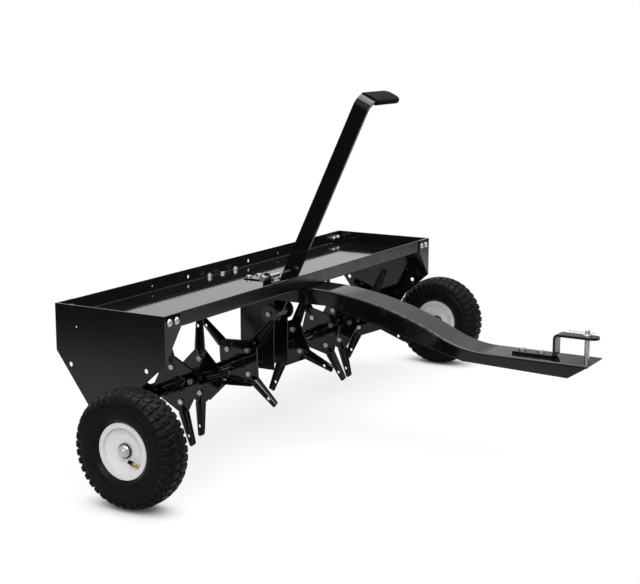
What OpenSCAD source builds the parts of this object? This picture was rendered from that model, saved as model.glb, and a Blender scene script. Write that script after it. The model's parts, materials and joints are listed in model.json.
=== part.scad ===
// Tow behind lawn aerator: a weight tray carried on two pneumatic wheels, with eight
// coring stars on a cross shaft, a lift lever that cranks the wheels down for
// transport, and a gooseneck drawbar with a clevis hitch.
// +X runs along the axle, -Y points forward to the hitch, +Z is up, millimetres.
// The origin is on the ground under the middle of the machine.

/* [Tray] */
// Length of the tray between the end plates
tray_len = 1284; // [1200:2:1500]
// Depth of the tray over the end plate flanges
tray_depth = 304; // [290:1:340]
// Height of the tray walls above the floor's top face
tray_wall_h = 32; // [26:1:50]
// Height of the tray's top edge above the ground
tray_top_z = 395; // [385:1:420]
// Thickness of the tray sheet
tray_sheet = 2; // [1.5:0.5:3]

/* [End plates] */
// Thickness of the end plates
plate_sheet = 3; // [2:0.5:4]
// Width of the flanges that fold in from the end plates
flange_w = 60; // [55:1:90]
// Length of the upright rear edge of an end plate
plate_rear_h = 108; // [80:1:140]
// Length of the upright front edge of an end plate
plate_front_h = 107; // [80:1:120]
// Width of the end plate's foot under the cross shaft
plate_foot_w = 56; // [50:1:80]
// Depth of the end plate's foot below the cross shaft's axis
plate_foot_drop = 36; // [28:1:45]

/* [Hanger] */
// Clear gap between the two centre hanger plates
hanger_gap = 64; // [60:1:72]
// Width of a hanger plate, front to rear
hanger_w = 102; // [90:1:120]
// Length of hanger below the cross shaft's axis
hanger_toe = 36; // [28:1:50]
// Thickness of a hanger plate
hanger_sheet = 3; // [2:0.5:5]

/* [Cross shaft and cranks] */
// Diameter of the cross shaft
shaft_d = 20; // [16:1:24]
// Distance of the cross shaft behind the tray's front edge
shaft_setback = 160; // [145:1:175]
// Height of the cross shaft above the wheel axles in transport
crank_drop = 37; // [25:1:50]
// Distance of the wheel axles ahead of the cross shaft
crank_reach = 148; // [120:1:180]
// Thickness of a crank arm
crank_t = 10; // [8:1:12]
// Width of a crank arm
crank_w = 42; // [36:1:55]

/* [Lift lever] */
// Distance of the lever pivot ahead of the cross shaft
pivot_lead = 41; // [30:1:48]
// Height of the lever pivot above the cross shaft
pivot_rise = 112; // [100:1:125]
// Forward lean of the lever in transport, in degrees
lever_lean = 25.3; // [18:0.1:30]
// Length of the lever from its pivot to the bend
lever_len = 610.6; // [450:0.1:700]
// Set-back of the lever bar from its pivot
lever_setback = 7.2; // [0:0.1:8]
// Width of the lever bar
lever_w = 42; // [35:1:46]
// Thickness of the lever bar
lever_t = 8; // [6:1:10]
// Swing of the lever from transport to work, in degrees
lever_swing = 37; // [20:1:40]
// Reach of the link pin from the lever pivot
link_reach = 52; // [46:1:60]
// Length of the hand grip
grip_len = 118; // [90:1:160]

/* [Stars] */
// Radius to the spoon tips
star_tip_r = 152; // [130:1:158]
// Thickness of the star plates
star_sheet = 3; // [2:0.5:4]
// Radius at the star plate's cut corners, where the spoons start
star_corner_r = 66; // [62:1:75]
// Width of a cut corner
star_corner_w = 27; // [22:1:34]
// Radius of the bolts around the shaft
star_bolt_r = 43; // [36:1:45]
// Radius of a spoon's trough at its widest
spoon_belly = 14.5; // [10:0.5:16]
// Radius of a spoon's trough at its tip
spoon_nose = 9; // [7:0.5:12]
// Diameter of the hole near a spoon's tip
spoon_hole_d = 8; // [4:0.5:9]
// Outer diameter of the spacer tubes between the stars
spacer_d = 32; // [28:0.5:36]
// Place of the innermost star, as a share of half the tray's length
first_star_share = 0.187; // [0.17:0.001:0.22]
// Place of the second star, as a share of half the tray's length
second_star_share = 0.449; // [0.35:0.001:0.48]
// Place of the third star, as a share of half the tray's length
third_star_share = 0.6; // [0.55:0.001:0.65]
// Place of the outermost star, as a share of half the tray's length
fourth_star_share = 0.861; // [0.75:0.001:0.89]

/* [Wheels] */
// Outer diameter of a tyre
tyre_d = 260; // [240:1:280]
// Width of a tyre
tyre_w = 86; // [76:1:100]
// Distance of a tyre's middle plane from the end plate
wheel_gap = 108; // [80:1:130]
// Diameter over the rim's flange
rim_d = 125; // [118:1:132]
// Width over the rim's flanges
rim_w = 62; // [56:1:68]
// Diameter of the wheel axle
axle_d = 13; // [10:0.5:16]
// Number of shoulder lugs round each side of a tyre
lug_count = 40; // [24:1:48]

/* [Drawbar and hitch] */
// Width of the drawbar channel
drawbar_w = 100; // [92:1:120]
// Thickness of the drawbar sheet
drawbar_sheet = 4; // [3:0.5:5]
// Drop from the tray's underside to the hitch end's top
drawbar_fall = 110; // [80:1:125]
// Radius of the lower bend, as a share of both bends' radii together
bend_lower_share = 0.239; // [0.2:0.001:0.4]
// Reach of the drawbar ahead of the tray
drawbar_reach = 738; // [690:1:850]
// Depth of the side flange under the tray
side_rear_h = 41; // [38:1:48]
// Depth of the side flange at the hitch
side_front_h = 34; // [28:1:40]
// Width of the hitch strap
strap_w = 34; // [30:1:50]
// Thickness of the hitch strap
strap_t = 6; // [5:0.5:8]
// Clear height between the drawbar and the hitch tongue
hitch_gap = 52; // [44:1:70]
// Length of the hitch tongue ahead of its riser
tongue_len = 106; // [98:1:130]
// Diameter of the hitch pin
pin_d = 12; // [10:0.5:16]

/* [Hidden] */
$fn = 64;
fine_fn = 360;
hex_sides = 6;

// Clearances, and the one overrun that all cuts share
overrun = 1;
run_fit = 0.05;
bolt_fit = 0.3;
side_play = 0.5;
paint_film = 0.1;

// Finishes
paint = "#1b1b1d";
zinc = "#c9ccd0";
white_paint = "#eeeeec";
black_rubber = "#2a2c30";
brass_tone = "#b5924c";
dark_nylon = "#303236";

// Fasteners: thread sizes, and proportions as shares of the thread diameter
bolt_d = 8;
strap_bolt_d = 10;
pivot_bolt_d = 8;
link_pin_d = 10;
hex_across_share = 1.8;
dome_share = 2.2;
head_h_share = 0.62;
nut_h_share = 0.8;
washer_share = 2.1;
washer_t = 1.6;
thread_end = 4;

// Tray and end plate details
fold_r = 4;
slot_side = 4;
slot_room = 5;
wall_hole_d = 9;
wall_hole_x = 140;
wall_hole_drop = 19;
trim_hole_d = 5;
trim_hole_x = 291;
flange_bolt_near = 20;
flange_bolt_far = 46;
flange_bolt_drop = 17;
knee_in = 75;
knee_rise = 55;
plate_hole_d = 11;
rear_hole_in = 40;
rear_hole_rise = 91;
front_hole_in = 52;
front_hole_rise = 101;
tiny_hole_d = 5;
tiny_hole_in = 59;
tiny_hole_drop = 49;

// Hanger, bush and pivot details
hanger_flange_w = 19;
hanger_bolt_x = 24;
hanger_bolt_in = 13;
hanger_bolt_gap = 68;
tail_bolt_x = 60;
tail_bolt_in = 15;
bush_wall = 4;
bush_flange_t = 3;
bush_flange_out = 5;
boss_r = 24;
boss_t = 6;

// Lever, link and crank details
lever_hub_r = 16;
lever_bend_r = 20;
lever_foot = 20;
ear_r = 12;
grip_wall = 5;
grip_end = 10;
grip_corner_share = 0.34;
link_t = 6;
link_r = 11;
link_pin_head_t = 3;
link_pin_head_r = 8;
lug_wall = 8;
lug_weld = 4;
arm_gap = 3;
shoulder_r = 12;
stub_head_t = 2;
axle_tail = 2;
axle_nut_h_share = 0.62;

// Lever lock details
lock_r = 5;
lock_rise = 16;
lock_room = 2;
lock_travel = 12;
bracket_t = 3;
bracket_ear_r = 12;
bracket_in_x = 12;
bracket_out_x = 64;
bracket_tail_out_x = 36;
bracket_tail_in = 9;
knob_r = 8;
knob_t = 10;

// Star and spacer details
collar_r = 19;
collar_t = 8;
spoon_root_r = 53;
spoon_root = 6;
spoon_belly_r = 68;
spoon_hole_back = 26;
star_phases = [115, 107, 90, 138, 158, 121, 105.5, 156];

// Wheel details
tyre_wall = 9;
tyre_corner = 22;
tread_depth = 4;
lug_slot_w = 6;
lug_len = 26;
lug_stagger_share = 0.5;
bead_r = 54;
bead_w = 12;
hub_len = 40;
hub_r = 13.4;
hub_bore_r = 11;
hub_flange_t = 3;
hub_flange_out = 3;
hub_bush_depth = 12;
rim_sheet = 2.5;
dish_depth = 14;
dish_step = 7;
dish_knee_r = 34;
valve_r = 48;
valve_d = 7;
valve_angle = 35;
valve_turn = 20;
valve_stand = 10;
valve_run = 16;
cap_d = 9;
cap_len = 11;

// Drawbar and hitch details
channel_depth = 90;
bend_lap = 4;
press_mark = 0.1;
edge_r = 5;
drawbar_tail_in = 7;
knee_rear_share = 0.138;
knee_front_share = 0.88;
knee_front_h = 26;
nose_cut = 47;
strap_riser_back = 97;
strap_rear = 100;
strap_clear = 54.7;
strap_bend_r = 6;
strap_bolt_in = 18;
strap_bolt_gap = 47;
pin_back = 29;
pin_fit = 0.4;
pin_below = 14;
pin_neck_h = 16;
pin_collar_t = 4;
pin_collar_out = 5;
pin_chamfer = 2;
clip_wire_d = 3;
clip_rise = 9;
clip_rear = 40;
clip_front = 16;

// Levels and stations that follow from the sizes above
mid_x = tray_len / 2;
outer_x = mid_x + plate_sheet;
floor_top_z = tray_top_z - tray_wall_h;
floor_low_z = floor_top_z - tray_sheet;
axle_z = tyre_d / 2;
shaft_z = axle_z + crank_drop;
shaft_r = shaft_d / 2;
front_reach = max(drawbar_reach, drawbar_reach - strap_riser_back + tongue_len);
rear_reach = max(tray_depth + bolt_d * head_h_share, shaft_setback + star_tip_r);
tray_front_y = (front_reach - rear_reach) / 2;
tray_rear_y = tray_front_y + tray_depth;
shaft_y = tray_front_y + shaft_setback;
axle_y = shaft_y - crank_reach;
pivot_y = shaft_y - pivot_lead;
pivot_z = shaft_z + pivot_rise;
hanger_x = hanger_gap / 2;
hanger_out_x = hanger_x + hanger_sheet;
hanger_top_z = floor_low_z - drawbar_sheet;
hanger_front_y = shaft_y - hanger_w / 2;
hanger_bolt_y1 = hanger_front_y + hanger_bolt_in;
hanger_bolt_ys = [hanger_bolt_y1, hanger_bolt_y1 + hanger_bolt_gap];
tail_bolt_y = tray_rear_y - tail_bolt_in;
floor_bolt_places = [
    for (x = [-hanger_bolt_x, hanger_bolt_x], y = hanger_bolt_ys) [x, y],
    [0, tail_bolt_y]
];
tail_bolt_places = [for (x = [-tail_bolt_x, tail_bolt_x]) [x, tail_bolt_y]];
bush_r = shaft_r + bush_wall;
hub_half = hanger_x - side_play;
wheel_x = outer_x + wheel_gap;

// Places a child drawn on the right-hand side, or its mirror image on the left
module on_side(side) {
    if (side > 0) children();
    else mirror([1, 0, 0]) children();
}

// Turns a shape drawn in the XY plane so that it lies in YZ and is extruded along +X
module side_sheet(thickness) {
    rotate([90, 0, 90]) linear_extrude(thickness) children();
}

// A straight rod along +X
module rod_x(radius, length) {
    rotate([0, 90, 0]) cylinder(r = radius, h = length);
}

// Where a line beside the lever's pivot, at the given offset and lean, passes the given height
function lever_y(z, lean, offset) = pivot_y - (z - pivot_z) * tan(lean) + offset / cos(lean);

// A rod along +X that cuts clean through a wall of the given thickness, which starts at x = 0
module drill_x(radius, wall) {
    translate([-overrun, 0, 0]) rod_x(radius, wall + 2 * overrun);
}

// A rod along +Z that cuts clean through a floor of the given thickness, which starts at z = 0
module drill_z(radius, wall) {
    translate([0, 0, -overrun]) cylinder(r = radius, h = wall + 2 * overrun);
}

// A flat bar with round ends, from the X axis to a second eye at the given place along +Y
module eye_bar(thick, end_r, reach) {
    rod_x(end_r, thick);
    translate([0, min(0, reach), -end_r]) cube([thick, abs(reach), 2 * end_r]);
    translate([0, reach, 0]) rod_x(end_r, thick);
}

// A hexagon bolt along -Z, with its head above z = 0
module hex_bolt(d, length) {
    cylinder(d = d * hex_across_share, h = d * head_h_share, $fn = hex_sides);
    translate([0, 0, -length]) cylinder(d = d, h = length + d * head_h_share / 2);
}

// A domed bolt along -Z, with its head above z = 0
module dome_bolt(d, length) {
    head_r = d * dome_share / 2;
    head_h = d * head_h_share;
    ball_r = (head_r * head_r + head_h * head_h) / (2 * head_h);
    intersection() {
        translate([0, 0, head_h - ball_r]) sphere(r = ball_r);
        cylinder(r = head_r + overrun, h = head_h + overrun);
    }
    translate([0, 0, -length]) cylinder(d = d, h = length + head_h / 2);
}

// A hexagon nut that stands on z = 0
module hex_nut(d, height) {
    difference() {
        cylinder(d = d * hex_across_share, h = height, $fn = hex_sides);
        drill_z(d / 2 + run_fit, height);
    }
}

// A bolt with its nut through a stack of the given grip
module bolt_and_nut(d, grip, domed = false) {
    nut_h = d * nut_h_share;
    shank = grip + nut_h + thread_end;
    if (domed) dome_bolt(d, shank);
    else hex_bolt(d, shank);
    translate([0, 0, -grip - nut_h]) hex_nut(d, nut_h);
}

// Tray pan: one folded sheet with a floor, a front rail and a rear wall
floor_y0 = tray_front_y + plate_sheet;
floor_y1 = tray_rear_y - plate_sheet;
work_lean = lever_lean - lever_swing;
lever_front_y = lever_y(floor_top_z, lever_lean, lever_setback - lever_w / 2);
lever_rear_y = lever_y(floor_top_z, work_lean, lever_setback + lever_w / 2);
slot_front_y = lever_front_y - slot_room;
slot_len = lever_rear_y + slot_room - slot_front_y;
slot_w = lever_t + 2 * slot_side;

// The slot that the lever swings in, cut through a sheet whose top face is at the given level
module lever_slot(top_z, sheet) {
    translate([-slot_w / 2, slot_front_y, top_z - sheet - overrun])
        cube([slot_w, slot_len, sheet + 2 * overrun]);
}

// Side view of the pan as a block with rounded lower edges, shrunk by the given inset
module pan_block(inset) {
    corner = fold_r - inset;
    low_y = floor_y0 + inset;
    high_y = floor_y1 - inset;
    low_z = floor_low_z + inset;
    top_z = inset > 0 ? tray_top_z + overrun : tray_top_z;
    translate([low_y, low_z + corner]) square([high_y - low_y, top_z - low_z - corner]);
    translate([low_y + corner, low_z]) square([high_y - low_y - 2 * corner, 2 * corner]);
    for (y = [low_y + corner, high_y - corner]) translate([y, low_z + corner]) circle(r = corner);
}

// The holes for the end plate bolts, front and rear, near the right-hand end
module flange_bolt_holes() {
    for (inset = [flange_bolt_near, flange_bolt_far])
        translate([outer_x - inset, tray_front_y - overrun, tray_top_z - flange_bolt_drop])
            rotate([-90, 0, 0]) cylinder(d = bolt_d + bolt_fit, h = tray_depth + 2 * overrun);
}

module rear_wall_hole(x, d) {
    translate([x, floor_y1 - tray_sheet - overrun, tray_top_z - wall_hole_drop])
        rotate([-90, 0, 0]) cylinder(d = d, h = tray_sheet + 2 * overrun);
}

module tray_pan() {
    color(paint) difference() {
        translate([-mid_x, 0, 0]) side_sheet(tray_len) difference() {
            pan_block(0);
            pan_block(tray_sheet);
        }
        lever_slot(floor_top_z, tray_sheet);
        for (side = [-1, 1]) {
            rear_wall_hole(side * wall_hole_x, wall_hole_d);
            rear_wall_hole(side * trim_hole_x, trim_hole_d);
            on_side(side) flange_bolt_holes();
        }
        for (p = concat(floor_bolt_places, tail_bolt_places))
            translate([p[0], p[1], floor_low_z]) drill_z((bolt_d + bolt_fit) / 2, tray_sheet);
    }
}

// End plates: a tapering side sheet with flanges that fold in over the rail and the rear wall
flange_h = tray_wall_h + tray_sheet;

module end_plate_outline() {
    polygon([
        [tray_front_y, tray_top_z],
        [tray_rear_y, tray_top_z],
        [tray_rear_y, tray_top_z - plate_rear_h],
        [shaft_y + plate_foot_w / 2, shaft_z - plate_foot_drop],
        [shaft_y - plate_foot_w / 2, shaft_z - plate_foot_drop],
        [tray_front_y + knee_in, shaft_z + knee_rise],
        [tray_front_y, tray_top_z - plate_front_h]
    ]);
}

// A flange whose front face is at the given place, full width beside the tray and tapering below it
module fold_in_flange(y, drop) {
    translate([outer_x, y, tray_top_z]) rotate([-90, 0, 0]) linear_extrude(plate_sheet)
        polygon([[0, 0], [-flange_w, 0], [-flange_w, flange_h], [-plate_sheet, drop], [0, drop]]);
}

module plate_hole(y, z, d) {
    translate([mid_x, y, z]) drill_x(d / 2, plate_sheet);
}

module end_plate(side) {
    color(paint) on_side(side) difference() {
        union() {
            translate([mid_x, 0, 0]) side_sheet(plate_sheet) end_plate_outline();
            fold_in_flange(tray_front_y, plate_front_h);
            fold_in_flange(tray_rear_y - plate_sheet, plate_rear_h);
        }
        plate_hole(shaft_y, shaft_z, 2 * bush_r);
        plate_hole(tray_rear_y - rear_hole_in, shaft_z + rear_hole_rise, plate_hole_d);
        plate_hole(tray_front_y + front_hole_in, shaft_z + front_hole_rise, plate_hole_d);
        plate_hole(tray_rear_y - tiny_hole_in, tray_top_z - tiny_hole_drop, tiny_hole_d);
        flange_bolt_holes();
    }
}

module left_end_plate() { end_plate(-1); }
module right_end_plate() { end_plate(1); }

module end_plate_bolts() {
    grip = plate_sheet + tray_sheet;
    z = tray_top_z - flange_bolt_drop;
    color(zinc) for (side = [-1, 1], inset = [flange_bolt_near, flange_bolt_far]) {
        x = side * (outer_x - inset);
        translate([x, tray_front_y, z]) rotate([90, 0, 0]) bolt_and_nut(bolt_d, grip, domed = true);
        translate([x, tray_rear_y, z]) rotate([-90, 0, 0]) bolt_and_nut(bolt_d, grip, domed = true);
    }
}

// Centre hangers: two upright plates under the drawbar's web, with flanges that fold towards the lever
module hanger(side) {
    height = hanger_top_z - shaft_z + hanger_toe;
    color(paint) on_side(side) difference() {
        translate([hanger_x, hanger_front_y, hanger_top_z - height]) {
            cube([hanger_sheet, hanger_w, height]);
            translate([-hanger_flange_w, 0, height - hanger_sheet])
                cube([hanger_flange_w + hanger_sheet, hanger_w, hanger_sheet]);
        }
        translate([hanger_x, shaft_y, shaft_z]) drill_x(bush_r, hanger_sheet);
        translate([hanger_x, pivot_y, pivot_z]) drill_x((pivot_bolt_d + bolt_fit) / 2, hanger_sheet);
        for (y = hanger_bolt_ys)
            translate([hanger_bolt_x, y, hanger_top_z - hanger_sheet])
                drill_z((bolt_d + bolt_fit) / 2, hanger_sheet);
    }
}

module left_hanger() { hanger(-1); }
module right_hanger() { hanger(1); }

// The left-hand pair also clamps the lock bracket
module hanger_bolts() {
    grip = tray_sheet + drawbar_sheet + hanger_sheet;
    color(zinc) for (side = [-1, 1], y = hanger_bolt_ys) {
        extra = side < 0 ? bracket_t : 0;
        translate([side * hanger_bolt_x, y, floor_top_z + extra]) bolt_and_nut(bolt_d, grip + extra);
    }
}

// One bolt through the drawbar's tail, and one on each side of it that has its nut on top
module drawbar_bolts() {
    color(zinc) {
        translate([0, tail_bolt_y, floor_top_z]) bolt_and_nut(bolt_d, tray_sheet + drawbar_sheet);
        for (p = tail_bolt_places)
            translate([p[0], p[1], floor_low_z]) mirror([0, 0, 1]) bolt_and_nut(bolt_d, tray_sheet);
    }
}

// Flanged bushes that carry the cross shaft in the end plates and the hangers
module bush(wall) {
    difference() {
        union() {
            rod_x(bush_r - run_fit, wall);
            translate([-bush_flange_t, 0, 0]) rod_x(bush_r + bush_flange_out, bush_flange_t);
        }
        translate([-bush_flange_t, 0, 0]) drill_x(shaft_r + run_fit, wall + bush_flange_t);
    }
}

module shaft_bushes() {
    color(dark_nylon) for (side = [-1, 1]) on_side(side) {
        translate([mid_x, shaft_y, shaft_z]) bush(plate_sheet);
        translate([hanger_out_x, shaft_y, shaft_z]) mirror([1, 0, 0]) bush(hanger_sheet);
    }
}

// Drawbar: an inverted channel that lies under the tray and swings down to the hitch in two bends
// The press leaves the lower bend a hair smaller than the rest, by the press mark
bend_run = drawbar_reach - strap_riser_back - strap_rear - strap_clear;
bend_angle = 2 * atan(drawbar_fall / bend_run);
bend_lower_r = bend_lower_share * bend_run / sin(bend_angle);
bend_upper_r = (1 - bend_lower_share) * bend_run / sin(bend_angle);
bend_end_y = tray_front_y - bend_run;
bend_mid_y = tray_front_y - bend_upper_r * sin(bend_angle);
hitch_top_z = floor_low_z - drawbar_fall;
hitch_front_y = tray_front_y - drawbar_reach;
drawbar_tail_y = tray_rear_y - drawbar_tail_in;

// Cross section of the channel as a block with rounded top edges, shrunk by the given inset
module channel_block(inset, depth) {
    corner = edge_r - inset;
    half = drawbar_w / 2 - inset;
    translate([-half, -depth]) square([2 * half, depth - inset - corner]);
    translate([corner - half, -inset - 2 * corner]) square([2 * (half - corner), 2 * corner]);
    for (s = [-1, 1]) translate([s * (half - corner), -inset - corner]) circle(r = corner);
}

module channel_section(inset = 0) {
    difference() {
        channel_block(inset, channel_depth);
        channel_block(inset + drawbar_sheet, channel_depth + overrun);
    }
}

// Side view that trims the channel: its lower edges, its tail and its slanted nose
module drawbar_trim() {
    rear_low = floor_low_z - side_rear_h;
    front_low = hitch_top_z - side_front_h;
    polygon([
        [drawbar_tail_y + overrun, rear_low],
        [drawbar_tail_y + overrun, floor_low_z + overrun],
        [hitch_front_y - overrun, floor_low_z + overrun],
        [hitch_front_y - overrun, hitch_top_z - drawbar_sheet],
        [hitch_front_y, hitch_top_z - drawbar_sheet],
        [hitch_front_y + nose_cut, front_low],
        [tray_front_y - knee_front_share * bend_run, hitch_top_z - knee_front_h],
        [tray_front_y - knee_rear_share * bend_run, rear_low]
    ]);
}

// Everything behind, and ahead of, the plane where the two bends meet
module behind_bend() {
    translate([-drawbar_w, bend_mid_y, 0]) cube([2 * drawbar_w, drawbar_reach, tray_top_z]);
}

module ahead_of_bend() {
    translate([-drawbar_w, bend_mid_y, 0]) mirror([0, 1, 0]) cube([2 * drawbar_w, drawbar_reach, tray_top_z]);
}

module drawbar() {
    color(paint) difference() {
        intersection() {
            union() {
                translate([0, drawbar_tail_y, floor_low_z]) rotate([90, 0, 0])
                    linear_extrude(drawbar_tail_y - tray_front_y) channel_section();
                intersection() {
                    translate([0, tray_front_y, floor_low_z - bend_upper_r]) rotate([180, -90, 0])
                        rotate_extrude(angle = bend_angle + bend_lap, $fn = fine_fn)
                            translate([bend_upper_r, 0]) rotate(-90) channel_section();
                    behind_bend();
                }
                intersection() {
                    translate([0, bend_end_y, hitch_top_z + bend_lower_r]) rotate([0, 90, 0])
                        rotate_extrude(angle = bend_angle + bend_lap, $fn = fine_fn)
                            translate([bend_lower_r, 0]) rotate(90) channel_section(press_mark);
                    ahead_of_bend();
                }
                translate([0, bend_end_y, hitch_top_z]) rotate([90, 0, 0])
                    linear_extrude(bend_end_y - hitch_front_y) channel_section();
            }
            translate([-drawbar_w, 0, 0]) side_sheet(2 * drawbar_w) drawbar_trim();
        }
        lever_slot(floor_low_z, drawbar_sheet);
        for (p = floor_bolt_places)
            translate([p[0], p[1], hanger_top_z]) drill_z((bolt_d + bolt_fit) / 2, drawbar_sheet);
        for (y = strap_bolt_ys)
            translate([0, y, hitch_top_z - drawbar_sheet])
                drill_z((strap_bolt_d + bolt_fit) / 2, drawbar_sheet);
        translate([0, pin_y, hitch_top_z - drawbar_sheet]) drill_z(pin_d / 2 + pin_fit, drawbar_sheet);
    }
}

// Hitch strap: a flat bar bent into a step, bolted on the drawbar, with a tongue above the hitch gap
riser_y = hitch_front_y + strap_riser_back;
strap_bolt_y1 = riser_y + strap_rear - strap_bolt_in;
strap_bolt_ys = [strap_bolt_y1, strap_bolt_y1 - strap_bolt_gap];
tongue_z = hitch_top_z + hitch_gap;
tongue_front_y = riser_y - tongue_len;
pin_y = tongue_front_y + pin_back;

// One quarter of the strap's bend, seen from the side, in the quadrant given by the two signs
module strap_bend(y_sign, z_sign) {
    outer = strap_bend_r + strap_t;
    intersection() {
        difference() {
            circle(r = outer);
            circle(r = strap_bend_r);
        }
        translate([y_sign < 0 ? -outer : 0, z_sign < 0 ? -outer : 0]) square(outer);
    }
}

module strap_side() {
    outer = strap_bend_r + strap_t;
    foot_y = riser_y - strap_t + outer;
    head_y = riser_y - outer;
    translate([foot_y, hitch_top_z]) square([riser_y + strap_rear - foot_y, strap_t]);
    translate([foot_y, hitch_top_z + outer]) strap_bend(-1, -1);
    translate([riser_y - strap_t, hitch_top_z + outer])
        square([strap_t, hitch_gap + strap_t - 2 * outer]);
    translate([head_y, tongue_z - strap_bend_r]) strap_bend(1, 1);
    translate([tongue_front_y, tongue_z]) square([head_y - tongue_front_y, strap_t]);
}

module hitch_strap() {
    nose_r = strap_w / 2;
    color(paint) difference() {
        intersection() {
            translate([-strap_w / 2, 0, 0]) side_sheet(strap_w) strap_side();
            translate([0, 0, hitch_top_z - overrun])
                linear_extrude(hitch_gap + strap_t + 2 * overrun) {
                    translate([0, tongue_front_y + nose_r]) circle(r = nose_r);
                    translate([-strap_w, tongue_front_y + nose_r])
                        square([2 * strap_w, tongue_len + strap_rear]);
                }
        }
        for (y = strap_bolt_ys)
            translate([0, y, hitch_top_z]) drill_z((strap_bolt_d + bolt_fit) / 2, strap_t);
        translate([0, pin_y, tongue_z]) drill_z(pin_d / 2 + pin_fit, strap_t);
    }
}

module hitch_bolts() {
    color(zinc) for (y = strap_bolt_ys)
        translate([0, y, hitch_top_z + strap_t]) bolt_and_nut(strap_bolt_d, strap_t + drawbar_sheet);
}

// Hitch pin: hangs on its collar above the tongue, with a clip through its neck
pin_top_z = tongue_z + strap_t;
pin_low_z = hitch_top_z - drawbar_sheet - pin_below;
clip_z = pin_top_z + clip_rise;

module hitch_pin() {
    pin_r = pin_d / 2;
    collar_top_z = pin_top_z + pin_collar_t;
    neck_top_z = pin_top_z + pin_neck_h;
    color(zinc) difference() {
        translate([0, pin_y, 0]) rotate_extrude() polygon([
            [0, pin_low_z],
            [pin_r - pin_chamfer, pin_low_z],
            [pin_r, pin_low_z + pin_chamfer],
            [pin_r, pin_top_z],
            [pin_r + pin_collar_out, pin_top_z],
            [pin_r + pin_collar_out, collar_top_z],
            [pin_r, collar_top_z],
            [pin_r, neck_top_z - pin_chamfer],
            [pin_r - pin_chamfer, neck_top_z],
            [0, neck_top_z]
        ]);
        translate([0, pin_y + pin_d, clip_z]) rotate([90, 0, 0])
            cylinder(d = clip_wire_d + 2 * run_fit, h = 2 * pin_d);
    }
}

// Clip: a wire hairpin with one leg through the pin's neck and one beside it
module hitch_clip() {
    leg_gap = (pin_d + clip_wire_d) / 2 + bolt_fit;
    length = clip_rear + clip_front;
    color(zinc) translate([0, pin_y + clip_rear, clip_z]) {
        for (x = [0, leg_gap])
            translate([x, 0, 0]) rotate([90, 0, 0]) cylinder(d = clip_wire_d, h = length);
        translate([leg_gap / 2, 0, 0]) rotate_extrude(angle = 180)
            translate([leg_gap / 2, 0]) circle(d = clip_wire_d);
    }
}

// Lift lever: a flat bar with a welded hub and ear, bent sideways at the top to carry the grip
module lever_frame() {
    translate([0, pivot_y, pivot_z]) rotate([lever_lean, 0, 0]) children();
}

module lever() {
    straight = lever_len - lever_bend_r - lever_t;
    bend_x = lever_t / 2 + lever_bend_r;
    color(paint) lever_frame() difference() {
        union() {
            translate([-lever_t / 2, lever_setback - lever_w / 2, -lever_foot])
                cube([lever_t, lever_w, straight + lever_foot]);
            translate([bend_x, lever_setback + lever_w / 2, straight]) rotate([90, 0, 0])
                rotate_extrude(angle = 90, start = 90)
                    translate([lever_bend_r, 0]) square([lever_t, lever_w]);
            translate([bend_x, lever_setback - lever_w / 2, straight + lever_bend_r])
                cube([grip_len, lever_w, lever_t]);
            translate([-hub_half, 0, 0]) rod_x(lever_hub_r, 2 * hub_half);
            translate([-lever_t / 2, 0, 0]) eye_bar(lever_t, ear_r, link_reach);
        }
        translate([-hub_half, 0, 0]) drill_x(pivot_bolt_d / 2 + run_fit, 2 * hub_half);
        translate([-lever_t / 2, link_reach, 0]) drill_x(link_pin_d / 2 + run_fit, lever_t);
    }
}

// Grip: a flat sleeve with rounded sides and a closed, rounded end
grip_w = lever_w + 2 * grip_wall;
grip_t = lever_t + 2 * grip_wall;

module grip_section() {
    square([grip_w - grip_t, grip_t], center = true);
    for (s = [-1, 1]) translate([s * (grip_w - grip_t) / 2, 0]) circle(d = grip_t);
}

// Plan view of the grip, with round corners at its free end
module grip_plan(length) {
    corner = grip_w * grip_corner_share;
    translate([0, -grip_w / 2]) square([length - corner, grip_w]);
    translate([0, corner - grip_w / 2]) square([length, grip_w - 2 * corner]);
    for (s = [-1, 1]) translate([length - corner, s * (grip_w / 2 - corner)]) circle(r = corner);
}

module lever_grip() {
    length = grip_len + grip_end;
    color(black_rubber) lever_frame()
        translate([lever_t / 2 + lever_bend_r, lever_setback, lever_len - lever_t / 2]) difference() {
            intersection() {
                side_sheet(length) grip_section();
                translate([0, 0, -grip_t]) linear_extrude(2 * grip_t) grip_plan(length);
            }
            translate([-overrun, -lever_w / 2 - run_fit, -lever_t / 2 - run_fit])
                cube([grip_len + overrun + run_fit, lever_w + 2 * run_fit, lever_t + 2 * run_fit]);
        }
}

// Lever pivot: one long bolt through both hangers, with a round boss outside each
module lever_pivot_bolt() {
    head_x = hanger_out_x + boss_t;
    color(zinc) translate([-head_x, pivot_y, pivot_z]) rotate([0, -90, 0])
        bolt_and_nut(pivot_bolt_d, 2 * head_x);
}

module pivot_bosses() {
    color(paint) for (side = [-1, 1]) on_side(side)
        translate([hanger_out_x, pivot_y, pivot_z]) difference() {
            rod_x(boss_r, boss_t);
            drill_x((pivot_bolt_d + bolt_fit) / 2, boss_t);
        }
}

// Lift link: a flat bar beside the lever that carries its swing to the lug on the cross shaft
link_x = lever_t / 2 + side_play;
link_y = pivot_y + link_reach * cos(lever_lean);
link_z = pivot_z + link_reach * sin(lever_lean);
link_len = norm([pivot_lead, pivot_rise]);
link_turn = atan2(-pivot_rise, pivot_lead);

module link_frame() {
    translate([link_x, link_y, link_z]) rotate([link_turn, 0, 0]) children();
}

module lift_link() {
    color(paint) link_frame() difference() {
        eye_bar(link_t, link_r, link_len);
        for (y = [0, link_len]) translate([0, y, 0]) drill_x(link_pin_d / 2 + run_fit, link_t);
    }
}

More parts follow.
